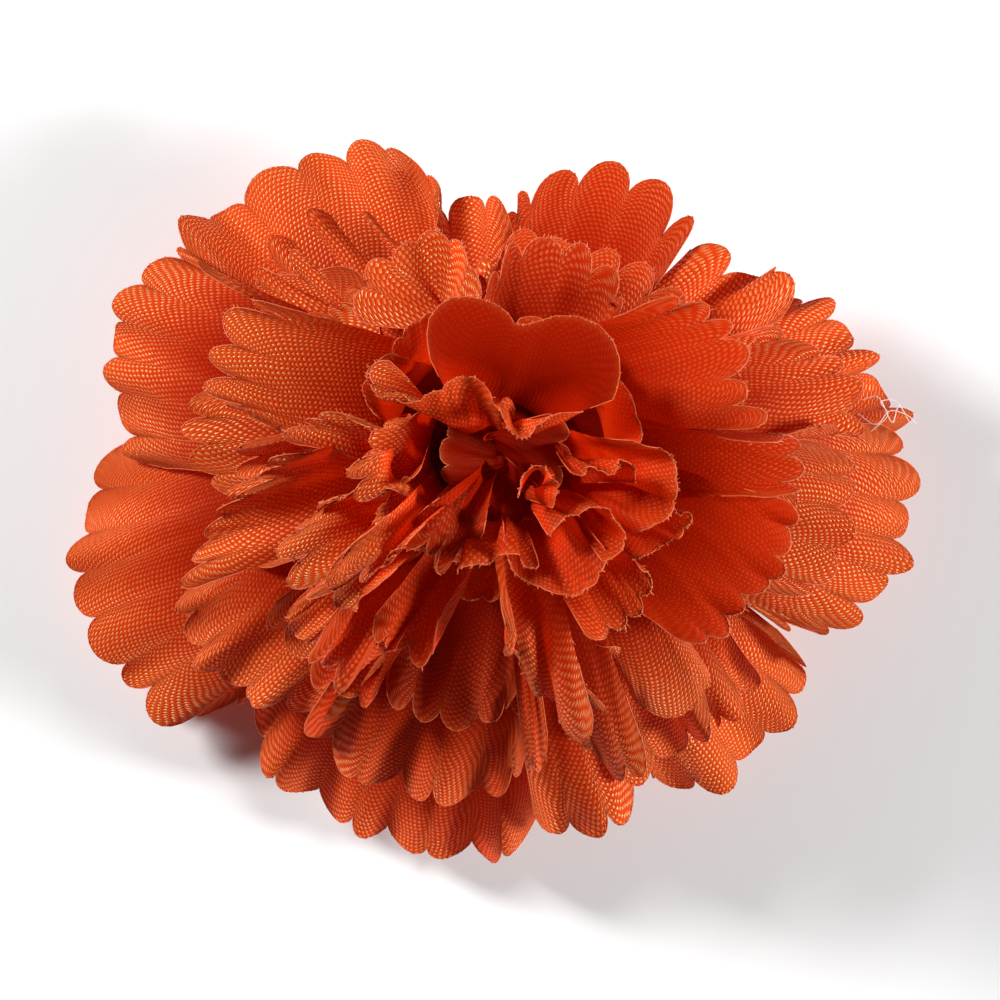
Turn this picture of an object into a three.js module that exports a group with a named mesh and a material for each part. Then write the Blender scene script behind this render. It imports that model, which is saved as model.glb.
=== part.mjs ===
// A fabric carnation head, lying face up on the base of its calyx.
// Millimetres, +Z up. The origin is the middle of the calyx's flat base, on the axis of
// the pin that every piece is threaded on. +Y is the side where the petals reach least.
import * as THREE from "three";

// ---- Driving dimensions ----

// Air left between pieces that are threaded on the pin or pushed into each other.
const CLEARANCE = 0.3;

// A cloth round with its starch and curl, and the moulded plates between the rounds.
const CLOTH_THICKNESS = 0.5;
const SPREADER_THICKNESS = 0.6;
const SPREADER_RADIUS = 7.8;

// How far the lowest petals reach from the pin, every 45 degrees from +X round to -Y.
const REACH = [37.5, 28.5, 26, 33.5, 37.2, 39.2, 36.8, 36];
const REACH_MIDDLE = 34;

// The calyx: a thin moulded cup with pointed teeth.
const CALYX_BASE_RADIUS = 4.6;
const CALYX_BELLY_RADIUS = 6.3;
const CALYX_MOUTH_RADIUS = 6.9;
const CALYX_MOUTH_HEIGHT = 10.6;
const CALYX_WALL = 0.9;
const CALYX_FLOOR = 1.5;
const TOOTH_COUNT = 5;
const TOOTH_LENGTH = 3.6;
const TOOTH_FLARE = 1.1;
const TOOTH_BASE = 0.2;

// The pin, the shoulder that carries the rounds, and the button that keeps them on.
const PIN_RADIUS = 1.5;
const PIN_FOOT_THICKNESS = 1.4;
const SHOULDER_RADIUS = 5.4;
const SHOULDER_THICKNESS = 0.9;
const SHOULDER_ABOVE_TEETH = 1;
const PIN_IN_BUTTON = 1.3;
const BUTTON_RADIUS = 3;
const BUTTON_HEIGHT = 2.6;

// One plate is wide, and holds the petals above it up. It lies on this round, flat as far
// as that round's hub and cupped beyond it: the edge's radius and its rise above the hub.
const WIDE_SPREADER_ON = 4;
const WIDE_SPREADER_EDGE = [11.9, 1.8];

// The side where petals stand up more, and how quickly that fades round the flower.
const UPRIGHT_SIDE = THREE.MathUtils.degToRad(78);

// The edge of the lowest petals lies just clear of the surface that the calyx stands on.
const LOWEST_EDGE = 1.7;

// Five rounds that spread out, lowest first. hub is the radius of the flat middle, reach
// and sway give the length of the petals in plan, rise is the height of their edge above
// the hub, and lift is what the upright side adds to it. bend is where the profile turns,
// as a share of the way out and a rise above the hub.
const OPEN_ROUNDS = [
  { petals: 5, lobes: 8, hub: 9, reach: 34, sway: 1, lift: 11, bend: [0.4, -2.6] },
  { petals: 5, lobes: 8, hub: 9, reach: 32, sway: 0.85, rise: -8.1, lift: 9, bend: [0.42, 0.4] },
  { petals: 5, lobes: 7, hub: 8.6, reach: 29.5, sway: 0.7, rise: -1.8, lift: 6, bend: [0.42, 2] },
  { petals: 5, lobes: 6, hub: 8.6, reach: 26, sway: 0.5, rise: 4, lift: 4, bend: [0.45, 3] },
  { petals: 5, lobes: 5, hub: 8.2, reach: 22, sway: 0.35, rise: 8.5, lift: 1.5, bend: [0.45, 3.6] },
];
const OPEN_PLEAT = 0.8;
const OPEN_SHARES = [0, 0.36, 0.7, 1];

// Each open round is turned a little from the one below, so that slits don't line up.
const FIRST_TURN = 9;
const TURN_STEP = 29;

// Four rounds folded up against one side of the pin, lowest first: the sector that each
// one's petals stand in, in degrees from +X, their reach and the rise of their edge.
const FOLDED_ROUNDS = [
  { from: 172, to: 246, lobes: 7, reach: 20, rise: 15 },
  { from: 254, to: 300, lobes: 5, reach: 26.5, rise: 12.2 },
  { from: 308, to: 372, lobes: 7, reach: 17.5, rise: 16.4 },
  { from: 22, to: 162, lobes: 10, reach: 13.5, rise: 16.6 },
];
const FOLDED_HUB = 4.2;
const FOLDED_HUB_STEP = 0.95;
const FOLDED_PLEAT = 0.9;
const FOLDED_BEND = [0.25, 0.75];
const FOLDED_SHARES = [0, 0.25, 0.6, 1];

// Petal edges: how deep the notches between lobes are, and the slit between two petals.
const NOTCH_DEPTH = 1.8;
const SLIT_DEGREES = 2.4;

const GREEN = new THREE.MeshStandardMaterial({ color: 0x4f7a35, roughness: 0.55, metalness: 0 });
const PALE = new THREE.MeshStandardMaterial({ color: 0xdfe2d4, roughness: 0.4, metalness: 0 });
const CLOTH = new THREE.MeshStandardMaterial({ color: 0xe0521c, roughness: 0.85, metalness: 0 });
const DEEP_CLOTH = new THREE.MeshStandardMaterial({ color: 0xc03a12, roughness: 0.85, metalness: 0 });

// ---- What the sizes lead to ----

const PIN_HOLE_RADIUS = PIN_RADIUS + CLEARANCE;
const PIN_FOOT_RADIUS = CALYX_BASE_RADIUS - CALYX_WALL - CLEARANCE;
const TOOTH_TIP = CALYX_MOUTH_HEIGHT + TOOTH_BASE + TOOTH_LENGTH;
const SHOULDER_TOP = TOOTH_TIP + SHOULDER_ABOVE_TEETH;
const PLATE_PITCH = CLOTH_THICKNESS + SPREADER_THICKNESS + 2 * CLEARANCE;
const FIRST_LEVEL = SHOULDER_TOP + CLEARANCE + CLOTH_THICKNESS / 2;
const FOLDED_LEVEL = FIRST_LEVEL + OPEN_ROUNDS.length * PLATE_PITCH;
const FOLDED_PITCH = CLOTH_THICKNESS + CLEARANCE;
const BUTTON_BASE = FOLDED_LEVEL + (FOLDED_ROUNDS.length - 0.5) * FOLDED_PITCH + CLEARANCE / 2;

// ---- Geometry helpers ----

const radians = THREE.MathUtils.degToRad;

/** A closed mesh from a list of [x, y, z] points and faces that index them. */
function meshGeometry(points, faces) {
  const geometry = new THREE.BufferGeometry();
  geometry.setAttribute("position", new THREE.Float32BufferAttribute(points.flat(), 3));
  geometry.setIndex(faces.flat());
  geometry.computeVertexNormals();
  return geometry;
}

/** Two triangles for the quad a, b, c, d, which is seen anticlockwise from outside. */
function quad(a, b, c, d) {
  return [
    [a, b, c],
    [a, c, d],
  ];
}

/**
 * A turned solid whose section may change on the way round. sectionAt(angle) gives the
 * section as [radius, height] points, anticlockwise with the axis on the left. A section
 * that starts and ends on the axis makes a body with no hole.
 */
function turned(columns, sectionAt) {
  const points = [];
  const faces = [];
  const size = sectionAt(0).length;
  for (let i = 0; i < columns; i++) {
    const angle = (2 * Math.PI * i) / columns;
    for (const [radius, height] of sectionAt(angle)) {
      points.push([radius * Math.cos(angle), radius * Math.sin(angle), height]);
    }
  }
  const startsOnAxis = sectionAt(0)[0][0] === 0;
  const steps = startsOnAxis ? size - 1 : size;
  for (let i = 0; i < columns; i++) {
    const here = i * size;
    const next = ((i + 1) % columns) * size;
    for (let k = 0; k < steps; k++) {
      const above = (k + 1) % size;
      const corners = [here + k, next + k, next + above, here + above];
      if (startsOnAxis && k === 0) {
        faces.push([here, next + above, here + above]);
      } else if (startsOnAxis && k === steps - 1) {
        faces.push([here + k, next + k, here + above]);
      } else {
        faces.push(...quad(...corners));
      }
    }
  }
  return meshGeometry(points, faces);
}

/**
 * A thin sheet round the pin, built on a grid of columns (angles) and rows (outwards).
 * middleAt(i, j) gives a point on its middle surface with that point's unit normal, and
 * hasCloth(i, j) tells whether the cell after column i and row j is cloth or cut away.
 */
function sheet(columns, rows, middleAt, hasCloth) {
  const points = [];
  for (let i = 0; i < columns; i++) {
    for (let j = 0; j < rows; j++) {
      const { point, normal } = middleAt(i, j);
      const half = normal.clone().multiplyScalar(CLOTH_THICKNESS / 2);
      points.push(point.clone().add(half).toArray());
      points.push(point.clone().sub(half).toArray());
    }
  }
  const top = (i, j) => 2 * (((i + columns) % columns) * rows + j);
  const bottom = (i, j) => top(i, j) + 1;
  const isCell = (i, j) => j >= 0 && j < rows - 1 && hasCloth((i + columns) % columns, j);
  const faces = [];
  for (let i = 0; i < columns; i++) {
    for (let j = 0; j < rows - 1; j++) {
      if (!isCell(i, j)) continue;
      const corners = [
        [i, j],
        [i, j + 1],
        [i + 1, j + 1],
        [i + 1, j],
      ];
      const neighbours = [
        [i - 1, j],
        [i, j + 1],
        [i + 1, j],
        [i, j - 1],
      ];
      faces.push(...quad(...corners.map((corner) => top(...corner))));
      faces.push(...quad(...corners.map((corner) => bottom(...corner)).reverse()));
      for (let side = 0; side < 4; side++) {
        if (isCell(...neighbours[side])) continue;
        const a = corners[side];
        const b = corners[(side + 1) % 4];
        faces.push(...quad(top(...b), top(...a), bottom(...a), bottom(...b)));
      }
    }
  }
  return meshGeometry(points, faces);
}

/** The point and the normal, both in the (radius, height) plane, at share t of a bend. */
function profileAt(start, bend, end, t) {
  const curve = new THREE.QuadraticBezierCurve(start, bend, end);
  const place = curve.getPoint(t);
  const along = curve.getTangent(t);
  return { place, across: new THREE.Vector2(-along.y, along.x) };
}

/** The reach of the lowest petals at an angle, eased between the named compass values. */
function lowestReach(angle) {
  const step = (2 * Math.PI) / REACH.length;
  const turns = (((angle / step) % REACH.length) + REACH.length) % REACH.length;
  const before = Math.floor(turns);
  const ease = (1 - Math.cos(Math.PI * (turns - before))) / 2;
  return REACH[before] * (1 - ease) + REACH[(before + 1) % REACH.length] * ease;
}

/** 1 on the upright side of the flower, 0 on the other half. */
function uprightShare(angle) {
  return Math.max(0, Math.cos(angle - UPRIGHT_SIDE)) ** 2;
}

// ---- The cloth rounds ----

/**
 * The columns of one petal between two angles: a notch, a lobe, a notch and so on. Lobes
 * fold to opposite sides in turn. The last column closes the petal.
 */
function petalColumns(from, to, lobes) {
  const columns = [];
  for (let k = 0; k <= 2 * lobes; k++) {
    const isLobe = k % 2 === 1;
    columns.push({
      angle: from + ((to - from) * k) / (2 * lobes),
      notch: isLobe ? 0 : NOTCH_DEPTH,
      side: isLobe ? (k % 4 === 1 ? 1 : -1) : 0,
      closes: k === 2 * lobes,
    });
  }
  return columns;
}

/** Cloth threaded on the pin: a flat hub, then petals along the profile of each column. */
function clothRound({ columns, level, hub, shares, pleat, endAt, bendAt }) {
  const middleAt = (i, j) => {
    const { angle, notch, side } = columns[i];
    const outwards = new THREE.Vector3(Math.cos(angle), Math.sin(angle), 0);
    const up = new THREE.Vector3(0, 0, 1);
    if (j === 0) {
      const point = outwards.clone().multiplyScalar(PIN_HOLE_RADIUS).setZ(level);
      return { point, normal: up };
    }
    const share = shares[j - 1];
    const start = new THREE.Vector2(hub, level);
    const end = endAt(angle);
    const bend = bendAt(start, end);
    const { place, across } = profileAt(start, bend, end, share);
    const along = new THREE.Vector2(across.y, -across.x);
    place.addScaledVector(across, side * pleat * share ** 2);
    place.addScaledVector(along, -notch * share ** 3);
    const point = outwards.clone().multiplyScalar(place.x).setZ(place.y);
    const normal = outwards.clone().multiplyScalar(across.x).setZ(across.y);
    return { point, normal };
  };
  const hasCloth = (i, j) => j === 0 || !columns[i].closes;
  return sheet(columns.length, shares.length + 1, middleAt, hasCloth);
}

/** A round whose petals spread out all the way round. */
function openRound(round, level, turn) {
  const { petals, lobes, hub, reach, sway, rise, lift, bend } = round;
  const edge = rise === undefined ? LOWEST_EDGE : level + rise;
  const columns = [];
  for (let p = 0; p < petals; p++) {
    const from = radians(turn + (360 * p) / petals + SLIT_DEGREES / 2);
    const to = radians(turn + (360 * (p + 1)) / petals - SLIT_DEGREES / 2);
    columns.push(...petalColumns(from, to, lobes));
  }
  const endAt = (angle) =>
    new THREE.Vector2(
      reach + sway * (lowestReach(angle) - REACH_MIDDLE),
      edge + lift * uprightShare(angle),
    );
  const bendAt = (start, end) =>
    new THREE.Vector2(start.x + bend[0] * (end.x - start.x), start.y + bend[1]);
  const shape = { shares: OPEN_SHARES, pleat: OPEN_PLEAT, endAt, bendAt };
  return clothRound({ columns, level, hub, ...shape });
}

/** A round folded up into one sector, which leaves only its hub on the other side. */
function foldedRound({ from, to, lobes, reach, rise }, level, hub) {
  const columns = petalColumns(radians(from), radians(to), lobes);
  const bare = 360 - (to - from);
  const spokes = Math.ceil(bare / 30);
  for (let k = 1; k < spokes; k++) {
    columns.push({ angle: radians(to + (bare * k) / spokes), notch: 0, side: 0, closes: true });
  }
  const endAt = () => new THREE.Vector2(reach, level + rise);
  const bendAt = (start, end) =>
    new THREE.Vector2(
      start.x + FOLDED_BEND[0] * (end.x - start.x),
      start.y + FOLDED_BEND[1] * (end.y - start.y),
    );
  const shape = { shares: FOLDED_SHARES, pleat: FOLDED_PLEAT, endAt, bendAt };
  return clothRound({ columns, level, hub, ...shape });
}

// ---- The moulded pieces ----

/** The cup, its floor closed, with a pointed tooth for each sepal. */
function calyx() {
  const wall = CALYX_WALL;
  return turned(TOOTH_COUNT * 8, (angle) => {
    const swing = Math.abs(Math.cos((TOOTH_COUNT * angle) / 2));
    const tooth = swing ** 1.6;
    const tipRadius = CALYX_MOUTH_RADIUS + TOOTH_FLARE * tooth;
    const tipHeight = CALYX_MOUTH_HEIGHT + TOOTH_BASE + TOOTH_LENGTH * tooth;
    return [
      [0, 0],
      [CALYX_BASE_RADIUS - 0.5, 0],
      [CALYX_BASE_RADIUS, 0.6],
      [CALYX_BELLY_RADIUS, CALYX_MOUTH_HEIGHT * 0.5],
      [CALYX_MOUTH_RADIUS, CALYX_MOUTH_HEIGHT],
      [tipRadius, tipHeight],
      [tipRadius - wall * 0.6, tipHeight],
      [CALYX_MOUTH_RADIUS - wall, CALYX_MOUTH_HEIGHT],
      [CALYX_BELLY_RADIUS - wall, CALYX_MOUTH_HEIGHT * 0.5],
      [CALYX_BASE_RADIUS - wall, CALYX_FLOOR],
      [0, CALYX_FLOOR],
    ];
  });
}

/** The pin: a foot on the calyx floor, a post, and the shoulder that the rounds lie on. */
function centrePin() {
  const foot = CALYX_FLOOR + CLEARANCE;
  const top = BUTTON_BASE + PIN_IN_BUTTON;
  const section = [
    [0, foot],
    [PIN_FOOT_RADIUS, foot],
    [PIN_FOOT_RADIUS, foot + PIN_FOOT_THICKNESS],
    [PIN_RADIUS, foot + PIN_FOOT_THICKNESS + 1],
    [PIN_RADIUS, SHOULDER_TOP - SHOULDER_THICKNESS - 2],
    [SHOULDER_RADIUS, SHOULDER_TOP - SHOULDER_THICKNESS],
    [SHOULDER_RADIUS, SHOULDER_TOP],
    [PIN_RADIUS, SHOULDER_TOP],
    [PIN_RADIUS, top - 0.4],
    [PIN_RADIUS - 0.4, top],
    [0, top],
  ];
  return turned(20, () => section);
}

/** The button pushed on over the top of the pin. */
function pinButton() {
  const roof = BUTTON_BASE + PIN_IN_BUTTON + CLEARANCE;
  const top = BUTTON_BASE + BUTTON_HEIGHT;
  const section = [
    [0, roof],
    [PIN_HOLE_RADIUS, roof],
    [PIN_HOLE_RADIUS, BUTTON_BASE],
    [BUTTON_RADIUS, BUTTON_BASE],
    [BUTTON_RADIUS, BUTTON_BASE + BUTTON_HEIGHT * 0.45],
    [BUTTON_RADIUS * 0.75, BUTTON_BASE + BUTTON_HEIGHT * 0.85],
    [BUTTON_RADIUS * 0.35, top],
    [0, top],
  ];
  return turned(20, () => section);
}

/** A small flat plate between two rounds. */
function spreader(level) {
  const half = SPREADER_THICKNESS / 2;
  const section = [
    [PIN_HOLE_RADIUS, level - half],
    [SPREADER_RADIUS, level - half],
    [SPREADER_RADIUS, level + half],
    [PIN_HOLE_RADIUS, level + half],
  ];
  return turned(24, () => section);
}

/** The wide plate, flat on the hub below it and cupped beyond, parallel to the petals. */
function wideSpreader(level, flatRadius) {
  const half = SPREADER_THICKNESS / 2;
  const [edgeRadius, edgeRise] = WIDE_SPREADER_EDGE;
  const section = [
    [PIN_HOLE_RADIUS, level - half],
    [flatRadius, level - half],
    [edgeRadius, level + edgeRise - half],
    [edgeRadius, level + edgeRise + half],
    [flatRadius, level + half],
    [PIN_HOLE_RADIUS, level + half],
  ];
  return turned(30, () => section);
}

// ---- The assembly ----

const flower = new THREE.Group();

function add(name, geometry, material) {
  const mesh = new THREE.Mesh(geometry, material);
  mesh.name = name;
  flower.add(mesh);
}

add("calyx", calyx(), GREEN);
add("centre_pin", centrePin(), PALE);

OPEN_ROUNDS.forEach((round, k) => {
  const level = FIRST_LEVEL + k * PLATE_PITCH;
  add(`open_round_${k + 1}`, openRound(round, level, FIRST_TURN + k * TURN_STEP), CLOTH);
  const plateLevel = level + PLATE_PITCH / 2;
  if (k + 1 === WIDE_SPREADER_ON) {
    add("wide_spreader", wideSpreader(plateLevel, round.hub), PALE);
  } else {
    add(`spreader_${k + 1}`, spreader(plateLevel), PALE);
  }
});

FOLDED_ROUNDS.forEach((round, k) => {
  const level = FOLDED_LEVEL + k * FOLDED_PITCH;
  const hub = FOLDED_HUB + (FOLDED_ROUNDS.length - 1 - k) * FOLDED_HUB_STEP;
  add(`folded_round_${k + 1}`, foldedRound(round, level, hub), DEEP_CLOTH);
});

add("pin_button", pinButton(), PALE);

export default flower;
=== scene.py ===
# %% [markdown]
# # A fabric carnation head
# A fabric carnation is a stack of cloth rounds. Each round is stamped from starched
# polyester with a lobed edge, slit into petals, pleated, and threaded on a plastic pin
# that stands in a green calyx. The lower rounds spread out and droop. The upper ones are
# folded up round the middle. The imported CAD model fixes where everything is, so the first
# step is to load it.

# %% Load the frame
import math

import bpy
import numpy as np
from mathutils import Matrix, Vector


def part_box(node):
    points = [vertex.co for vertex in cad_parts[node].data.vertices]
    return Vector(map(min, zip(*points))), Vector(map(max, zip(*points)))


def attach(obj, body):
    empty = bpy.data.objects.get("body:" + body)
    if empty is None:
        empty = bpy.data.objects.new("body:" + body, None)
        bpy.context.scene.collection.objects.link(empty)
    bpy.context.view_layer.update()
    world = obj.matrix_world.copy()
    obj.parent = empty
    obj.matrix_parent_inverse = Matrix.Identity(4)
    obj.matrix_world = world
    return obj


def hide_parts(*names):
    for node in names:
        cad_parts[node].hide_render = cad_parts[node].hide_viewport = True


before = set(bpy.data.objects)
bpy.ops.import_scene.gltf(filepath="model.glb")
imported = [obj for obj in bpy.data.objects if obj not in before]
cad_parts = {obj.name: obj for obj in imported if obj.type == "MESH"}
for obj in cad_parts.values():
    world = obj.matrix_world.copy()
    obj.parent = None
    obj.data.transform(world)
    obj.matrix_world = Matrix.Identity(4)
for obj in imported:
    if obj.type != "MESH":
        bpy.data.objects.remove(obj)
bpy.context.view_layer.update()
print("CAD nodes:", len(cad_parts))

# %% [markdown]
# ## One unit for the whole flower
# Every place below is written in millimetres from the pin, as a maker would measure them
# on a head 75.5 mm across. One factor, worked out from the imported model, turns them into
# metres, so the petals keep fitting if the model is packed at another size.

# %% The unit and the heights of the stack
DRAWN_WIDTH = 75.5
low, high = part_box("open_round_1")
MM = (high.x - low.x) / DRAWN_WIDTH
CLOTH_FROM_PLATE = 0.85
FOLD_PITCH = 0.8
OPEN_HUB = 8.6
FOLDED_HUB = 4.2
FOLDED_HUB_STEP = 0.95
FIRST_FOLDED_HUB = 9.2
PLATES = ["spreader_1", "spreader_2", "spreader_3", "wide_spreader", "spreader_5"]
PLATE_THICKNESS = 0.6


def plate_level(number):
    """The height in mm of the middle of the plate that lies on an open round."""
    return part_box(PLATES[number - 1])[0].z / MM + PLATE_THICKNESS / 2


LEVELS = {f"open_round_{k}": plate_level(k) - CLOTH_FROM_PLATE for k in range(1, 6)}
for k in range(1, 5):
    LEVELS[f"folded_round_{k}"] = plate_level(5) + CLOTH_FROM_PLATE + FOLD_PITCH * (k - 1)
HUBS = {f"open_round_{k}": OPEN_HUB for k in range(1, 6)}
for k in range(2, 5):
    HUBS[f"folded_round_{k}"] = FOLDED_HUB + FOLDED_HUB_STEP * (4 - k)
HUBS["folded_round_1"] = FIRST_FOLDED_HUB
print("hub heights in mm:", {name: round(z, 1) for name, z in LEVELS.items()})

# %% [markdown]
# ## Camera
# The flower is looked at straight down its pin. A long lens from three quarters of a metre
# keeps the raised middle from looking swollen beside the drooping edge.

# %% Camera
LENS = 300
SENSOR = 36
FIELD = 90
MIDDLE_OF_VIEW = (0, -4.5, 8)
camera_data = bpy.data.cameras.new("camera")
camera_data.lens = LENS
camera_data.sensor_width = SENSOR
camera = bpy.data.objects.new("camera", camera_data)
bpy.context.scene.collection.objects.link(camera)
camera.location = Vector(MIDDLE_OF_VIEW) * MM + Vector((0, 0, FIELD * MM * LENS / SENSOR))
bpy.context.scene.camera = camera
print("camera stands", round(camera.location.z, 3), "m up")

# %% [markdown]
# ## Helpers for lines and lobes
# A petal's edge is drawn as a few points that a smooth line passes through, as a maker
# would sketch it. The lobes are then cut along that line. Real lobes are never quite even,
# so each cut is moved a little by a seeded random draw, which is the same in every run.


# %% A smooth line through points
def smooth_line(points, shares):
    """The points at these shares of the length of a smooth line through given points."""
    given = np.array(points, float)
    ends = np.vstack([2 * given[0] - given[1], given, 2 * given[-1] - given[-2]])
    share = np.linspace(0, 1, 24, endpoint=False)[:, None]
    stretches = []
    for k in range(len(given) - 1):
        a, b, c, d = ends[k : k + 4]
        bend = 2 * b + (c - a) * share
        bend = bend + (2 * a - 5 * b + 4 * c - d) * share**2
        bend = bend + (3 * b - a - 3 * c + d) * share**3
        stretches.append(bend / 2)
    fine = np.vstack([*stretches, given[-1:]])
    steps = np.linalg.norm(np.diff(fine, axis=0), axis=1)
    run = np.concatenate([[0], np.cumsum(steps)])
    places = shares * run[-1]
    return np.column_stack([np.interp(places, run, fine[:, axis]) for axis in range(3)])


def unit(vectors):
    """The same vectors, each one long."""
    return vectors / np.maximum(np.linalg.norm(vectors, axis=-1, keepdims=True), 1e-9)


# %% [markdown]
# ## One petal
# A petal is a grid of points. Along it run Bezier curves from the hub to the edge line,
# with an angle at each end: how steeply it leaves the hub, and how it lies at the edge.
# Across it run slow waves, and near the edge pleats with the rhythm of the lobes: the
# cloth was pleated with a hot iron, two lobes to a fold. On top come a curl at the lobe
# tips and fine crumples. Cloth simulation could fold a flat round too, but it would not
# put every petal where this flower has it, so the folds are given one by one.

# %% How a petal grows, unless it says otherwise
HABIT = {
    "lobes": 6,  # rounded teeth along the edge
    "rise": 20,  # degrees above level where it leaves the hub
    "fall": -20,  # degrees above level where it ends
    "spread": 30,  # degrees of the hub on each side of its root
    "pleat": 1.2,  # half the depth of the folds at the edge, in mm
    "fold_length": 5.5,  # how far in from the edge they fade, in mm
    "ridge": 0.5,  # 0.5 has ridges on the lobes, 0 has them on the notches
    "wave": 1.3,  # height of the slow waves, in mm
    "cup": 0.0,  # how far the sides stand above the middle, in mm
    "notch": 2.2,  # depth of the notches between lobes, in mm
    "curl": 0.4,  # how far the lobe tips turn up, in mm
    "crumple": 0.12,  # height of the fine crumples, in mm
    "fray": 0.1,  # length of the thread ends at the edge, in mm
    "bloom": 1.0,  # how strongly the open edge is painted pale as if lit, its crowns given a painted highlight, and made glossier and more raised
    "bloom_length": 6.5,  # how far in from the edge that fades, in mm
    "fresh": 1.0,  # 1 keeps the full dye at the edge; lower values paint it in shade
    "reach_in": 0.36,  # how far the first angle is felt, as a share of the petal
    "reach_out": 0.36,  # how far the last angle is felt
}
COLUMNS_PER_LOBE = 12
ROWS = 32
ROW_CROWDING = 1.5
LOBE_ROUNDNESS = 0.97
CURL_LENGTH = 1.6


# %% The petal grid
def lobe_places(lobes, columns, draw):
    """For each column, its place across the petal from 0 to 1, and its place counted in
    lobes. The cuts are a little uneven, and the columns crowd towards them."""
    even = np.linspace(0, lobes, columns)
    lobe = np.minimum(even.astype(int), lobes - 1)
    place = lobe + (1 - np.cos(np.pi * (even - lobe))) / 2
    cuts = np.arange(lobes + 1) + draw.uniform(-0.16, 0.16, lobes + 1)
    cuts[0], cuts[-1] = 0, lobes
    return np.interp(place, np.arange(lobes + 1), cuts) / lobes, place


def slow_wave(across, along, draw, most=3):
    """A few long waves over a petal, between about -1 and 1."""
    total = np.zeros(np.broadcast(across, along).shape)
    for k in range(1, most + 1):
        phase, lean = draw.uniform(0, 2 * np.pi), draw.uniform(-1.5, 1.5)
        total += np.sin(2 * np.pi * k * across * 0.8 + lean * along * 2 + phase) / k
    return total / 1.6


def bezier(start, first, second, end, share):
    """Points on cubic curves, one for each column, at each row's share of the way."""
    t = share[..., None]
    rest = 1 - t
    total = rest**3 * start[:, None] + 3 * rest**2 * t * first[:, None]
    return total + 3 * rest * t**2 * second[:, None] + t**3 * end[:, None]


def petal_grid(rim, root, hub, level, shape, draw):
    """The petal's points as an array of columns by rows, in mm, and its two directions."""
    lobes = shape["lobes"]
    u, place = lobe_places(lobes, lobes * COLUMNS_PER_LOBE + 1, draw)
    t = 1 - (1 - np.linspace(0, 1, ROWS)[None, :]) ** ROW_CROWDING
    edge = smooth_line(rim, u)
    angles = np.radians(root + (u - 0.5) * 2 * shape["spread"])
    outward = np.column_stack([np.cos(angles), np.sin(angles), 0 * u])
    up = np.array([0, 0, 1.0])
    start = outward * hub + up * level
    span = np.linalg.norm(edge - start, axis=1)[:, None]
    level_way = (edge - start) * (1, 1, 0)
    end_way = unit(unit(level_way) + 0.4 * outward)
    rise, fall = math.radians(shape["rise"]), math.radians(shape["fall"])
    first = start + (outward * math.cos(rise) + up * math.sin(rise)) * span * shape["reach_in"]
    second = edge - (end_way * math.cos(fall) + up * math.sin(fall)) * span * shape["reach_out"]

    lobe = np.minimum(place.astype(int), lobes - 1)
    within = place - lobe
    depths = np.interp(place, np.arange(lobes + 1), draw.uniform(0.7, 1.25, lobes + 1))
    cut = shape["notch"] * depths * (1 - np.sqrt(1 - LOBE_ROUNDNESS * (2 * within - 1) ** 2))
    v = t - t**5 * (cut[:, None] / span)
    surface = bezier(start, first, second, edge, v)

    along = np.gradient(surface, axis=1)
    facing = unit(np.cross(along, np.gradient(surface, axis=0)))
    inside = (1 - v) * span
    sizes = np.interp(place, np.arange(lobes + 1), draw.uniform(0.5, 1.3, lobes + 1))
    fold = np.cos(np.pi * (place - shape["ridge"])) * sizes
    lift = shape["pleat"] * np.exp(-((inside / shape["fold_length"]) ** 1.4)) * fold[:, None]
    lift = lift + shape["wave"] * v**1.3 * slow_wave(u[:, None], v, draw)
    lift = lift + shape["cup"] * v * ((2 * u[:, None] - 1) ** 2 - 0.33)
    tips = draw.uniform(-0.5, 1, lobes)[lobe] * np.sin(np.pi * within)
    lift = lift + shape["curl"] * np.exp(-inside / CURL_LENGTH) * tips[:, None]
    lift = lift + shape["crumple"] * v * slow_wave(u[:, None] * 4.3 + v * 1.7, v * 2.5, draw, 5)
    return surface + facing * lift[..., None], unit(along), facing


# %% [markdown]
# ## Cloth coordinates
# The weave has to follow the cloth, not the world, so each point gets its place on the
# flat cloth: how far along the petal and how far across it, measured on the surface. Cloth
# hardly stretches, so those two lengths are the threads' own coordinates.


# %% Cloth coordinates
# How far in from the edge the painted throat shade takes over from the full dye, in mm.
THROAT_SHADE_LENGTH = 11


def cloth_places(points, hub, turn):
    """Each point's place on the flat cloth in mm, with the threads turned by an angle."""
    across = np.linalg.norm(np.diff(points, axis=0), axis=2)
    across = np.vstack([np.zeros((1, points.shape[1])), np.cumsum(across, axis=0)])
    across = across - across[len(across) // 2]
    middle = points[len(points) // 2]
    along = np.linalg.norm(np.diff(middle, axis=0), axis=1)
    along = np.concatenate([[0], np.cumsum(along)]) + hub
    along = np.broadcast_to(along, across.shape)
    c, s = math.cos(math.radians(turn)), math.sin(math.radians(turn))
    return np.stack([across * c - along * s, across * s + along * c], axis=2)


TONES = ("edge", "bloom", "fresh")


def edge_tones(points, shape):
    """Three numbers for each point. Edge is 1 on the lobed edge and fades within a thread's
    width. The second, a painted sheen and gloss, fades slowly towards the root, and the third,
    which keeps the dye out of the painted throat shade, more slowly still."""
    inside = np.linalg.norm(points[:, -1:] - points, axis=2)
    bloom = shape["bloom"] * np.exp(-((inside / shape["bloom_length"]) ** 1.6))
    fresh = shape["fresh"] * np.exp(-((inside / THROAT_SHADE_LENGTH) ** 2))
    return np.stack([np.exp(-inside / 0.3), bloom, fresh], axis=2)


# %% [markdown]
# ## The cut edge
# The die that stamps the cloth is hot, so it melts the edge into a fine bead that catches
# the light, and here and there a cut thread stands out of it. Both are real geometry: a
# thin tube along the petal's outline, and a short bent tube for each thread end.

# %% Beads and thread ends
THREAD_SPACING = 0.42
THREAD_RADIUS = 0.08
BEAD_RADIUS = 0.035
BEAD_GROWTH = 0.06
SLIT_ROW = 18


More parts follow.
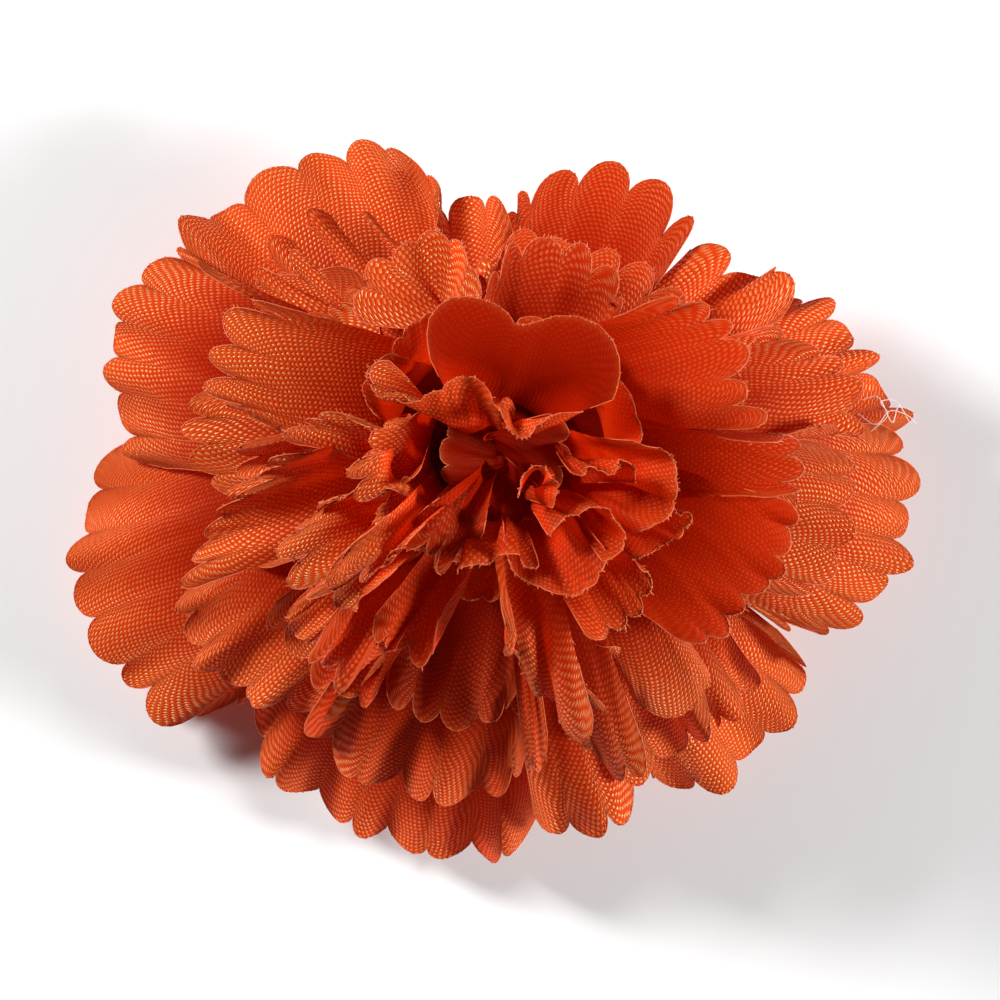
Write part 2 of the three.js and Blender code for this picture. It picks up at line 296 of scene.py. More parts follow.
def tubes(paths, sides, radii):
    """Thin tubes along paths (tubes, stations, xyz), given two cross directions each."""
    stations, side, face = paths
    rings = []
    for k in range(sides):
        angle = 2 * math.pi * k / sides
        turned = side * math.cos(angle) + face * math.sin(angle)
        rings.append(stations + turned * radii[..., None])
    vertices = np.stack(rings, axis=2)
    count, length = stations.shape[:2]
    pattern = []
    for i in range(length - 1):
        for k in range(sides):
            a, b = i * sides + k, i * sides + (k + 1) % sides
            pattern.append((a, b, b + sides, a + sides))
    shift = length * sides * np.arange(count)[:, None, None]
    return vertices.reshape(-1, 3), (np.array(pattern)[None] + shift).reshape(-1, 4)


def bead(points, facing, fray):
    """The melted bead along a petal's lobed edge and down the slits on both sides of it."""
    path, face = (
        np.vstack([grid[0, SLIT_ROW:], grid[1:-1, -1], grid[-1, :SLIT_ROW:-1]])
        for grid in (points, facing)
    )
    side = unit(np.cross(face, np.gradient(path, axis=0)))
    radii = np.full((1, len(path)), BEAD_RADIUS + BEAD_GROWTH * fray)
    return tubes((path[None], side[None], face[None]), 4, radii)


def frayed_ends(points, along, facing, fray, draw):
    """Short cut thread ends that stand out of the petal's edge."""
    rim = points[:, -1]
    run = np.concatenate([[0], np.cumsum(np.linalg.norm(np.diff(rim, axis=0), axis=1))])
    count = int(run[-1] / THREAD_SPACING)
    where = np.interp(np.sort(draw.uniform(0, run[-1], count)), run, np.arange(len(rim)))
    near = np.minimum(where.astype(int), len(rim) - 2)
    mix = (where - near)[:, None]
    base = rim[near] * (1 - mix) + rim[near + 1] * mix
    side = unit(rim[near + 1] - rim[near])
    face = facing[near, -1]
    length = fray * draw.uniform(0.3, 1.25, (count, 1)) ** 1.6
    lean = draw.normal(0, 0.45, (count, 1)) * side + draw.normal(0, 0.4, (count, 1)) * face
    way = unit(along[near, -1] + lean)
    bent = unit(way + draw.normal(0, 0.5, (count, 3)))
    knee = base + way * length * 0.55
    stations = np.stack([base - way * 0.12, knee, knee + bent * length * 0.45], axis=1)
    radii = THREAD_RADIUS * np.array([1, 0.95, 0.6])[None, :] * np.ones((count, 1))
    return tubes((stations, side[:, None], face[:, None]), 3, radii)


# %% [markdown]
# ## A round of cloth
# All petals of a round are one piece of cloth, so they become one object. Where the
# petals made here fill too little of that square, it is declared smaller.

# %% Collect petals into a round
HOLE_RADIUS = 1.8
BAKE_MARGIN = 0.02
rounds = {name: [] for name in LEVELS}


def petal(name, root, rim, **changes):
    """Adds a petal to a round. root is the side of the pin that it grows on, in degrees
    from +X, and rim is its edge line as (x, y, height) points in mm, anticlockwise."""
    shape = {**HABIT, **changes}
    draw = np.random.default_rng(100 * list(LEVELS).index(name) + len(rounds[name]) + 7)
    points, along, facing = petal_grid(rim, root, HUBS[name], LEVELS[name], shape, draw)
    cloth = cloth_places(points, HUBS[name], root)
    edges = [bead(points, facing, shape["fray"])]
    edges.append(frayed_ends(points, along, facing, shape["fray"], draw))
    rounds[name].append((points, cloth, edge_tones(points, shape), edges))


def grid_faces(columns, rows):
    """Quads between neighbouring columns and rows."""
    i, j = np.meshgrid(np.arange(columns - 1), np.arange(rows - 1), indexing="ij")
    a = i * rows + j
    return np.stack([a, a + 1, a + rows + 1, a + rows], axis=2).reshape(-1, 4)


def hub_grid(name):
    """The flat ring between the pin hole and the petals."""
    angles = np.linspace(0, 2 * np.pi, 49)[:, None]
    radii = np.linspace(HOLE_RADIUS, HUBS[name] + 0.2, 6)[None, :]
    x, y = radii * np.cos(angles), radii * np.sin(angles)
    points = np.stack([x, y, np.full(x.shape, LEVELS[name])], axis=2)
    return points, np.stack([x, y], axis=2), np.zeros((*x.shape, len(TONES))), []


def mesh_piece(name, parts, material):
    """A smooth mesh object from (vertices in mm, faces) parts. It rides on the flower."""
    starts = np.cumsum([0] + [len(vertices) for vertices, faces in parts])
    vertices = np.vstack([vertices for vertices, faces in parts]) * MM
    faces = np.vstack([faces + start for (_, faces), start in zip(parts, starts)])
    mesh = bpy.data.meshes.new(name)
    mesh.from_pydata(vertices.tolist(), [], faces.tolist())
    mesh.polygons.foreach_set("use_smooth", np.ones(len(mesh.polygons), bool))
    mesh.materials.append(material)
    piece = bpy.data.objects.new(name, mesh)
    bpy.context.scene.collection.objects.link(piece)
    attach(piece, "root")
    return piece


def add_map(mesh, title, places):
    """A UV map from one place for each vertex."""
    corners = np.zeros(len(mesh.loops), np.int32)
    mesh.loops.foreach_get("vertex_index", corners)
    layer = mesh.uv_layers.new(name=title)
    layer.data.foreach_set("uv", places[corners].astype(np.float32).ravel())


def make_round(name):
    """One cloth object and one object for its cut edges, from all the round's petals."""
    grids = [hub_grid(name), *rounds[name]]
    parts = [(points.reshape(-1, 3), grid_faces(*points.shape[:2])) for points, *_ in grids]
    piece = mesh_piece(name + "_cloth", parts, petal_cloth)
    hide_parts(name)
    tiles = math.ceil(math.sqrt(len(grids)))
    flats, bakes = [], []
    for number, (points, cloth, *_) in enumerate(grids):
        columns, rows = points.shape[:2]
        spot = np.meshgrid(np.linspace(0, 1, columns), np.linspace(0, 1, rows), indexing="ij")
        spot = np.stack(spot, axis=2) * (1 - 2 * BAKE_MARGIN) + BAKE_MARGIN
        bakes.append(((spot + (number % tiles, number // tiles)) / tiles).reshape(-1, 2))
        flats.append(cloth.reshape(-1, 2))
    add_map(piece.data, "cloth", np.vstack(flats))
    add_map(piece.data, "OFBake", np.vstack(bakes))
    tones = np.vstack([tone.reshape(-1, len(TONES)) for _, _, tone, _ in grids])
    for column, title in enumerate(TONES):
        values = piece.data.attributes.new(title, "FLOAT", "POINT")
        values.data.foreach_set("value", tones[:, column].astype(np.float32))
    cut = [part for *_, edges in grids for part in edges]
    fringe = mesh_piece(name + "_cut_edge", cut, edge_cloth)


# %% [markdown]
# ## The weave, as a shader group
# Plain weave is a chequerboard of crowns: at every crossing either the warp or the weft
# lies on top. Two sine waves multiplied give exactly that: the sign says which thread is
# on top and the size says how high it stands. The group gives the crowns of the weft, a
# height for the bump, and slubs, the thick and thin places along a thread.

# %% Weave group
WARP_PITCH = 0.26
WEFT_PITCH = 0.37
THREAD_WANDER = 0.6
CROWN_FULLNESS = 0.55


def link(tree, source, socket):
    """Links a socket, or sets a plain value."""
    if isinstance(source, bpy.types.NodeSocket):
        tree.links.new(source, socket)
    else:
        socket.default_value = source


def math_node(tree, operation, *values):
    """The output of a Math node whose inputs are sockets or numbers."""
    node = tree.nodes.new("ShaderNodeMath")
    node.operation = operation
    for socket, value in zip(node.inputs, values):
        link(tree, value, socket)
    return node.outputs[0]


def vector_node(tree, operation, *values):
    """The output of a Vector Math node."""
    node = tree.nodes.new("ShaderNodeVectorMath")
    node.operation = operation
    for socket, value in zip(node.inputs, values):
        link(tree, value, socket)
    return node.outputs[0]


def noise_node(tree, places, scale, detail=2):
    """The value and the colour of a noise texture."""
    node = tree.nodes.new("ShaderNodeTexNoise")
    node.inputs["Scale"].default_value = scale
    node.inputs["Detail"].default_value = detail
    link(tree, places, node.inputs["Vector"])
    return node.outputs["Fac"], node.outputs["Color"]


def mix_colour(tree, factor, first, second):
    """A colour mix whose factor and colours are sockets or plain values."""
    node = tree.nodes.new("ShaderNodeMix")
    node.data_type = "RGBA"
    for number, value in ((0, factor), (6, first), (7, second)):
        link(tree, value, node.inputs[number])
    return node.outputs[2]


def weave_group():
    tree = bpy.data.node_groups.new("plain weave", "ShaderNodeTree")
    face = tree.interface
    face.new_socket("Cloth", in_out="INPUT", socket_type="NodeSocketVector")
    for title, value in (("Warp Pitch", WARP_PITCH), ("Weft Pitch", WEFT_PITCH)):
        face.new_socket(title, in_out="INPUT", socket_type="NodeSocketFloat").default_value = value
    for title in ("Crown", "Height", "Slub"):
        face.new_socket(title, in_out="OUTPUT", socket_type="NodeSocketFloat")
    come = tree.nodes.new("NodeGroupInput")
    leave = tree.nodes.new("NodeGroupOutput")
    cloth = come.outputs["Cloth"]
    # Threads wander a little, so the coordinates are bent by a soft noise first.
    wander = noise_node(tree, cloth, 0.35)[1]
    bent = vector_node(tree, "MULTIPLY_ADD", wander, (THREAD_WANDER, THREAD_WANDER, 0), cloth)
    parts = tree.nodes.new("ShaderNodeSeparateXYZ")
    link(tree, bent, parts.inputs[0])
    warp = math_node(tree, "DIVIDE", parts.outputs["X"], come.outputs["Warp Pitch"])
    weft = math_node(tree, "DIVIDE", parts.outputs["Y"], come.outputs["Weft Pitch"])
    warp_wave = math_node(tree, "SINE", math_node(tree, "MULTIPLY", warp, math.pi))
    weft_wave = math_node(tree, "SINE", math_node(tree, "MULTIPLY", weft, math.pi))
    crossing = math_node(tree, "MULTIPLY", warp_wave, weft_wave)
    dome = math_node(tree, "POWER", math_node(tree, "ABSOLUTE", crossing), CROWN_FULLNESS)
    on_top = math_node(tree, "MULTIPLY_ADD", math_node(tree, "SIGN", crossing), 0.5, 0.5)
    crown = math_node(tree, "MULTIPLY", on_top, dome)
    lower = math_node(tree, "MULTIPLY_ADD", on_top, 0.35, 0.65)
    slub = noise_node(tree, vector_node(tree, "MULTIPLY", cloth, (0.4, 2.6, 1)), 1.0)[0]
    link(tree, crown, leave.inputs["Crown"])
    link(tree, math_node(tree, "MULTIPLY", dome, lower), leave.inputs["Height"])
    link(tree, slub, leave.inputs["Slub"])
    return tree


weave = weave_group()
print("weave:", WARP_PITCH, "by", WEFT_PITCH, "mm")

# %% [markdown]
# ## Petal cloth
# Dyed polyester shines on the crowns of its threads. Here the colour also carries painted
# light: a painted peach highlight on the crowns toward the open edge, and painted shade
# between them. It also lets light through: a petal with light behind it glows, and light that
# bounces from petal to petal turns red. So the material mixes a rough surface, polished on
# the crowns, with a translucent one of the same dye. Each petal carries three values that
# steer it: one paints the open edge paler as if lit, gives its crowns the painted highlight and
# makes them glossier; one keeps the full dye where it is high and paints shade deeper into
# the throat; and edge pales the cut, partly as a painted highlight.

# %% Petal material
# Painted shade: the dark dye deep in the throat of the flower.
DYE_IN_THROAT_SHADE = (0.17, 0.002, 0.0001, 1)
# Painted shade in the valleys between the threads, and the darker end of random patches.
DYE_IN_THREAD_SHADE_AND_PATCHES = (0.46, 0.009, 0.0003, 1)
DYE = (0.62, 0.036, 0.0008, 1)
# Painted light: the paler dye at the lit open edge.
DYE_IN_PAINTED_LIGHT = (0.78, 0.085, 0.004, 1)
# Painted highlight: the peach tone on the thread crowns.
CROWN_HIGHLIGHT_TONE = (0.88, 0.30, 0.10, 1)
SHINE_TONE = (1, 0.55, 0.26, 1)
GLOW = (0.92, 0.028, 0.0005, 1)
EDGE_DARK = (0.50, 0.02, 0.002, 1)
EDGE_LIGHT = (0.85, 0.19, 0.04, 1)
PAINTED_LIGHT_PALENESS = 0.6
HIGHLIGHT_AND_GLOSS_STRENGTH = 2.8
# Partly a painted highlight: how much the cut rim is paled.
RIM_PALENESS_AND_HIGHLIGHT = 0.3
WEAVE_RELIEF = 0.00008
POLISH = 1.75
LIGHT_THROUGH = 0.33
EDGE_ROUGHNESS = 0.5


def cloth_material():
    material = bpy.data.materials.new("petal cloth")
    material.use_nodes = True
    tree = material.node_tree
    surface = tree.nodes["Principled BSDF"]
    places = tree.nodes.new("ShaderNodeUVMap")
    places.uv_map = "cloth"
    threads = tree.nodes.new("ShaderNodeGroup")
    threads.node_tree = weave
    link(tree, places.outputs[0], threads.inputs["Cloth"])
    patches = noise_node(tree, places.outputs[0], 0.12, 3)[0]
    # Painted shade in the valleys between the threads, mixed with random patches of darker tone.
    depth = math_node(tree, "MULTIPLY", threads.outputs["Height"], patches)
    dye = mix_colour(tree, math_node(tree, "MULTIPLY_ADD", depth, 1.3, 0.2), DYE_IN_THREAD_SHADE_AND_PATCHES, DYE)
    bloom = tree.nodes.new("ShaderNodeAttribute")
    bloom.attribute_name = "bloom"
    fresh = tree.nodes.new("ShaderNodeAttribute")
    fresh.attribute_name = "fresh"
    # Painted shade: toward the root, and on petals set in shadow, the dye is painted darker.
    dye = mix_colour(tree, fresh.outputs["Fac"], DYE_IN_THROAT_SHADE, dye)
    shine = math_node(tree, "MULTIPLY", threads.outputs["Crown"], threads.outputs["Slub"])
    # Painted light: the dye is painted paler toward the lit open edge.
    dye = mix_colour(tree, math_node(tree, "MULTIPLY", bloom.outputs["Fac"], PAINTED_LIGHT_PALENESS), dye, DYE_IN_PAINTED_LIGHT)
    strength = math_node(tree, "MULTIPLY", bloom.outputs["Fac"], HIGHLIGHT_AND_GLOSS_STRENGTH)
    shine = math_node(tree, "MULTIPLY", shine, strength)
    shine = math_node(tree, "MINIMUM", shine, 1.0)
    # Painted highlight: a peach tone on the weft crowns toward the open edge; the same shine also raises
    # the real gloss below.
    dye = mix_colour(tree, shine, dye, CROWN_HIGHLIGHT_TONE)
    edge = tree.nodes.new("ShaderNodeAttribute")
    edge.attribute_name = "edge"
    # A paler cut rim, partly a painted highlight along the edge.
    rim = math_node(tree, "MULTIPLY", edge.outputs["Fac"], RIM_PALENESS_AND_HIGHLIGHT)
    dye = mix_colour(tree, rim, dye, EDGE_LIGHT)
    bump = tree.nodes.new("ShaderNodeBump")
    relief = math_node(tree, "MULTIPLY_ADD", bloom.outputs["Fac"], 0.65, 0.4)
    link(tree, relief, bump.inputs["Strength"])
    bump.inputs["Distance"].default_value = WEAVE_RELIEF
    link(tree, threads.outputs["Height"], bump.inputs["Height"])
    link(tree, dye, surface.inputs["Base Color"])
    gloss = math_node(tree, "MULTIPLY_ADD", shine, 0.9, 0.04)
    link(tree, gloss, surface.inputs["Specular IOR Level"])
    link(tree, math_node(tree, "MULTIPLY_ADD", shine, -0.3, 0.55), surface.inputs["Roughness"])
    link(tree, bump.outputs[0], surface.inputs["Normal"])
    surface.inputs["Specular Tint"].default_value = SHINE_TONE
    surface.inputs["IOR"].default_value = POLISH
    glow = tree.nodes.new("ShaderNodeBsdfTranslucent")
    glow.inputs["Color"].default_value = GLOW
    link(tree, bump.outputs[0], glow.inputs["Normal"])
    both = tree.nodes.new("ShaderNodeMixShader")
    both.inputs[0].default_value = LIGHT_THROUGH
    link(tree, surface.outputs[0], both.inputs[1])
    link(tree, glow.outputs[0], both.inputs[2])
    link(tree, both.outputs[0], tree.nodes["Material Output"].inputs["Surface"])
    return material


def edge_material():
    """The melted bead and the thread ends: the same dye, paler and a little glossy."""
    material = bpy.data.materials.new("cut edge")
    material.use_nodes = True
    tree = material.node_tree
    surface = tree.nodes["Principled BSDF"]
    places = tree.nodes.new("ShaderNodeTexCoord")
    mottle = noise_node(tree, places.outputs["Object"], 1500)[0]
    link(tree, mix_colour(tree, mottle, EDGE_DARK, EDGE_LIGHT), surface.inputs["Base Color"])
    surface.inputs["Roughness"].default_value = EDGE_ROUGHNESS
    return material


petal_cloth = cloth_material()
edge_cloth = edge_material()
print("petal materials:", petal_cloth.name, "and", edge_cloth.name)

# %% [markdown]
# ## The lowest round
# Five large petals reach furthest and droop until they nearly touch the table. The last
# three are plain ones that fill the round where other petals cover it, as they do in most
# of the rounds above.

# %% Open round 1
R1 = "open_round_1"
petal(R1, 204, [(-35.5, 0.5, 8), (-37.6, -4.5, 6), (-38.2, -9.5, 5), (-38.2, -14, 4), (-36.3, -18.5, 4),
                (-33.5, -22.2, 4), (-29.5, -25, 4), (-25, -24, 5), (-21.8, -21.5, 7)],
      lobes=9, rise=-2, fall=-32, spread=32, cup=-2.5, wave=1.1, pleat=0.9, bloom=1.25, bloom_length=7)
petal(R1, 251, [(-21.5, -22.5, 8), (-21.7, -27.5, 6), (-17.5, -32, 4), (-12.5, -35, 4),
                (-6.5, -36.5, 4), (-0.5, -36.9, 5), (3.4, -34, 8)],
      lobes=9, rise=-2, fall=-34, spread=26, pleat=1.5, ridge=0, fold_length=8, cup=-1.5,
      notch=1.7, bloom_length=5, bloom=0.75, fresh=0.8)
petal(R1, 308, [(12.8, -27.5, 9), (14.2, -30.2, 7), (17, -30.6, 6), (20.5, -29.9, 6), (23.5, -27.6, 6),
                (26, -25.2, 6), (28.2, -21.5, 7), (26.5, -17.5, 10)],
      lobes=7, rise=0, fall=-32, spread=24, pleat=1.2, cup=-1.5, bloom=1.5, bloom_length=9)
petal(R1, 16, [(36.3, 1.5, 9), (36.8, 3.6, 8), (35, 6, 8), (33, 9, 9), (30.5, 11.8, 10),
               (27.5, 13.6, 11), (24.8, 13, 13)],
      lobes=6, rise=0, fall=-28, spread=26, pleat=1.2, cup=-1, bloom=1.3)
petal(R1, 125, [(-5.2, 21.5, 16), (-7.2, 26.2, 14), (-10.5, 27.9, 13), (-14, 27, 12), (-17.7, 27, 11),
                (-21, 24.8, 10), (-24.8, 22, 9), (-28.4, 20.3, 9), (-28.8, 17.5, 11)],
      lobes=7, rise=8, fall=-25, spread=32, pleat=1.2, wave=1.2, notch=1.7, bloom=1.25, bloom_length=9)
petal(R1, 72, [(12, 20, 12), (8, 22.5, 12), (3.5, 22.5, 12), (-0.5, 20, 13)], lobes=5, rise=6, fall=-20)
petal(R1, 165, [(-27, 12, 8), (-30, 8, 7), (-31.5, 3, 7), (-30.5, -1, 8)], lobes=6, rise=2, fall=-28)
petal(R1, 343, [(27, -13, 8), (31, -9, 7), (32.5, -4, 7), (31, 0, 8)], lobes=6, rise=2, fall=-26)
make_round(R1)

# %% [markdown]
# ## The second round
# It has the bright petal on the left, with even lobes, and shows between the petals of
# the first all the way round.

# %% Open round 2
R2 = "open_round_2"
petal(R2, 165, [(-26.8, 17, 14), (-29, 18.2, 13), (-31.5, 16.6, 12), (-33, 13.8, 11), (-34.6, 10.5, 10),
                (-35.2, 7, 10), (-35.2, 3, 10), (-34.6, 0.2, 10), (-32.8, -1.8, 11)],
      lobes=7, rise=14, fall=-36, spread=30, pleat=0.8, cup=-2, bloom=1.25, bloom_length=5.5)
petal(R2, 284, [(3.2, -33, 10), (5.5, -35, 9), (8, -34.3, 9), (11, -33, 9), (13, -30, 10),
                (13, -27, 12)],
      lobes=4, rise=3, fall=-34, spread=20, pleat=1.2, ridge=0, cup=-1)
petal(R2, 346, [(23.5, -15, 13), (29.5, -16.8, 10), (32, -14.2, 9), (35.4, -11.2, 8), (37.7, -7, 8),
                (38, -3, 8), (37.4, -0.5, 9), (35.8, 1.8, 11)],
      lobes=8, rise=10, fall=-32, spread=30, pleat=1.0, cup=-2, bloom=1.4, bloom_length=7)
petal(R2, 38, [(26.6, 12.5, 16), (25.3, 16.8, 15), (22.7, 16.1, 15), (19.5, 17.6, 16), (17, 18, 16),
               (15.6, 15.5, 18)],
      lobes=4, rise=18, fall=-20, spread=20, pleat=0.9)
petal(R2, 67, [(16.6, 18, 18), (17, 21, 17), (13.6, 24.6, 16), (9.3, 25.8, 16), (5.2, 25, 16),
               (1.8, 23, 17), (1.2, 20.5, 18)],
      lobes=5, rise=20, fall=-18, spread=26, pleat=0.3, notch=3.4, wave=0.5, bloom=0.3, fresh=0.5)
petal(R2, 96, [(1.4, 20, 18), (-0.5, 22.5, 17), (-2.9, 23, 16), (-5, 22.2, 16), (-6, 19.5, 18)],
      lobes=3, rise=20, fall=-15, spread=14, pleat=0.6)
petal(R2, 128, [(-11, 21, 14), (-15, 21.5, 13), (-19.5, 19.5, 12), (-22, 16, 12)],
      lobes=6, rise=12, fall=-20)
petal(R2, 222, [(-27, -13.5, 10), (-26, -18.5, 9), (-22, -22, 9), (-17, -23.5, 10)],
      lobes=7, rise=6, fall=-34)
petal(R2, 250, [(-15.5, -24, 10), (-12, -28, 9), (-7, -29.5, 9), (-2, -28.5, 10)],
      lobes=7, rise=6, fall=-32)
petal(R2, 314, [(10, -27, 10), (15, -27.5, 9), (20.5, -25, 9), (24, -20.5, 10)],
      lobes=6, rise=6, fall=-30)
make_round(R2)

# %% [markdown]
# ## The third round
# The third round lies about level, and its edges make the second ring of lobes.

# %% Open round 3
R3 = "open_round_3"
petal(R3, 137, [(-22.6, 11.5, 18), (-22.6, 15.8, 17), (-19.8, 15.6, 18), (-18.4, 17.8, 18),
                (-15.4, 16.2, 19), (-12.5, 16.4, 20), (-11, 13.5, 21)],
      lobes=5, rise=24, fall=-6, spread=24, pleat=0.5, fray=0.3, bloom_length=7)
petal(R3, 176, [(-26.4, 5.8, 17), (-28, 2.8, 16), (-27.7, 0.4, 16), (-26.8, -2, 16), (-24.5, -4, 18)],
      lobes=4, rise=18, fall=-22, spread=20, pleat=0.3, wave=0.5, cup=-1.5)
petal(R3, 220, [(-28.4, -12.3, 15), (-28.8, -15.2, 14), (-27.4, -18, 13), (-25.2, -20.2, 13),
                (-22, -21.8, 13), (-18.5, -23.2, 14), (-15, -23.9, 15), (-11.5, -22.3, 17)],
      lobes=8, rise=18, fall=-30, spread=30, pleat=1.1, cup=-1.5, bloom_length=6, bloom=0.9)
petal(R3, 258, [(-18, -24.5, 15), (-14.6, -28.9, 13), (-11, -30.4, 12), (-7.5, -31.2, 12),
                (-2.5, -31.2, 12),
                (1, -29.8, 13), (2.6, -26.5, 15)],
      lobes=7, rise=10, fall=-30, spread=26, pleat=1.3, ridge=0, fold_length=7, bloom_length=5,
      bloom=0.55, fresh=0.6)
petal(R3, 299, [(8.2, -21, 18), (9, -26.5, 15), (12, -30, 13), (15, -28.6, 13), (17.8, -25.8, 14),
                (18.8, -22, 16)],
      lobes=5, rise=14, fall=-28, spread=20, pleat=1.0)
petal(R3, 343, [(25.5, -13.5, 16), (29.5, -12, 14), (31, -8, 13), (31.6, -4, 14), (32, -1.5, 15),
                (29.6, 0.2, 17)],
      lobes=5, rise=16, fall=-20, spread=24, pleat=0.6, fray=0.35)
petal(R3, 62, [(16.5, 9.5, 22), (17.5, 12.5, 21), (14, 15.6, 20), (10.5, 17.6, 20), (6.5, 17.9, 20),
               (3.6, 19.4, 20), (0.4, 18.6, 20), (-1, 15.5, 21)],
      lobes=7, rise=26, fall=-8, spread=34, pleat=0.4, fray=0.3, bloom=0.4)
petal(R3, 100, [(4.5, 14.5, 18), (0, 16.8, 17), (-4.5, 16.6, 17), (-8.5, 14, 18)],
      lobes=6, rise=20, fall=-12)
petal(R3, 22, [(26.5, 0.5, 16), (28, 4.5, 15), (26.5, 8, 15), (22, 11, 17)], lobes=5, rise=16, fall=-18)
make_round(R3)

# %% [markdown]
# ## The fourth round
# Its petals stand a little higher, on all sides of the head.

# %% Open round 4
R4 = "open_round_4"
petal(R4, 20, [(27.5, 0.6, 21), (30.6, 0.9, 19), (32.5, 1.8, 18), (31.8, 4, 18), (32.3, 6, 18),
               (30.6, 7.6, 19), (27.6, 9.2, 21), (23, 11, 24)],
      lobes=6, rise=24, fall=-12, spread=26, pleat=0.5, fray=0.35, bloom=0.8)
petal(R4, 305, [(10.6, -19, 22), (12.8, -22.5, 20), (16, -23.2, 19), (18.4, -20.8, 20),
                (17.8, -17.5, 22)],
      lobes=3, rise=36, fall=-50, spread=18, pleat=0.2, wave=0.2, notch=0.5, cup=-1.5)
petal(R4, 232, [(-21, -14.5, 21), (-19.5, -17.5, 20), (-16.5, -20, 20), (-13, -21.5, 20),
                (-10, -20, 22)],
      lobes=5, rise=28, fall=-22, spread=24, pleat=0.6)
petal(R4, 82, [(9, 12, 21), (6, 16, 20), (1.5, 16.8, 20), (-3.5, 15, 21)], lobes=6, rise=26, fall=-14)
petal(R4, 148, [(-12, 14.5, 20), (-16, 12.6, 20), (-19.5, 9.6, 19), (-21, 6, 19)],
      lobes=6, rise=24, fall=-18)
petal(R4, 190, [(-22, 1, 20), (-24, -3, 19), (-24, -8, 19), (-21.5, -11, 20)],
      lobes=6, rise=22, fall=-22)
petal(R4, 266, [(-9, -20.5, 17), (-4, -23, 16), (1, -23, 16), (5, -20.5, 17)],
      lobes=6, rise=16, fall=-26, bloom=0.3, fresh=0.2)
petal(R4, 343, [(21, -12, 20), (24.5, -9.5, 19), (26, -5, 19), (25.5, -1, 20)],
      lobes=6, rise=22, fall=-16)
make_round(R4)

# %% [markdown]
# ## The fifth round
# The last of the open rounds is held up by the wide plate, and stands like a bowl round
# the folded middle. The petal on the lower right is nearly smooth, with small lobes that
# curl up along its edge.

# %% Open round 5
R5 = "open_round_5"
petal(R5, 160, [(-19.8, 13, 28), (-23.4, 12.6, 26), (-24.8, 9.8, 26), (-25.2, 7, 26), (-25.8, 4.8, 26),
                (-22, 2.8, 28)],
      lobes=5, rise=40, fall=-30, spread=34, pleat=0.3, notch=3.2, fray=0.3, wave=0.6, bloom=1.2,
      bloom_length=14)
petal(R5, 192, [(-19, 0, 31), (-22, -3.2, 29), (-25, -5.6, 27), (-26.6, -8, 26), (-27.8, -10.8, 25),
                (-28.2, -12.8, 24)],
      lobes=7, rise=50, fall=-24, spread=20, pleat=0.4, notch=2.4, fray=0.35, bloom=1.1, bloom_length=9)
petal(R5, 40, [(24, 1.8, 30), (21.8, 4.8, 29), (21.8, 8.6, 28), (20.4, 11, 28), (17, 13, 28),
               (13.2, 13.4, 29)],
      lobes=6, rise=44, fall=-14, spread=30, pleat=0.25, curl=1.0, notch=2.2, fray=0.4, wave=0.5,
      bloom=0.2)
petal(R5, 357, [(24.6, -4.6, 27), (26.4, -3.6, 26), (26.8, -1.4, 26), (26.2, 0.5, 27), (23.6, 1.0, 29)],
      lobes=4, rise=36, fall=-18, spread=20, pleat=0.3, wave=0.8, fray=0.35, bloom=0.2)
petal(R5, 326, [(16, -17.2, 27), (19.6, -16.6, 26), (20.6, -14.6, 26), (22.2, -13, 26),
                (24.6, -11.4, 26),
                (25.6, -8, 26), (26.2, -4.8, 27)],
      lobes=7, rise=40, fall=-16, spread=32, pleat=0.15, wave=0.4, curl=1.5, fray=0.35, notch=1.3,
      bloom=0.08)
petal(R5, 284, [(7.2, -18, 24), (7.8, -22, 21), (8, -25.5, 19), (9, -28.4, 17), (11.4, -29.8, 16),
                (13, -26.5, 18)],
      lobes=5, rise=44, fall=-44, spread=22, pleat=0.9, notch=2.6, fray=0.3, bloom=0.8)
petal(R5, 238, [(-17.4, -19.5, 23), (-13.4, -23, 21), (-11, -22, 22), (-9.6, -18.5, 24)],
      lobes=4, rise=44, fall=-26, spread=28, pleat=0.6, bloom=0.2, fresh=0.2)
petal(R5, 113, [(-13.4, 12, 25), (-11.8, 16.2, 24), (-9.4, 17.4, 24), (-7.6, 18.8, 23),
                (-5.5, 19.2, 23),
                (-3, 17.8, 24), (-1.2, 14, 26)],
      lobes=6, rise=42, fall=-14, spread=36, pleat=0.35, notch=1.3, fray=0.3, bloom=0.9, bloom_length=9)
petal(R5, 70, [(10.5, 11, 26), (10.8, 15, 25), (8, 17.5, 24), (4.5, 18.6, 24), (1, 18.2, 24),
               (-1.5, 14, 26)],
      lobes=6, rise=40, fall=-12, spread=34, pleat=0.3, wave=0.6, fray=0.3, bloom=0.2, fresh=0.5)
petal(R5, 262, [(-10.6, -21.5, 21), (-7.5, -23.8, 20), (-3.5, -24.5, 20), (0.2, -24, 20),
                (1.2, -21, 22)],
      lobes=5, rise=42, fall=-20, spread=28, pleat=0.7, bloom=0.15, fresh=0.15)
make_round(R5)

# %% [markdown]
# ## The folded rounds
# The upper rounds were folded and pushed together, so their petals are small pockets and
# ribbons that crowd round the pin. Some lean over the button and hide it, and plain ones
# stand as a skirt inside the fifth round, so that from above no plate shows. From the side
# the edge of the wide plate is seen between the rounds. The first folded round lies
# on the left, the second hangs below, the third is the crumpled rosette on the lower
# right, and the last makes the tall curled petal behind the pin.

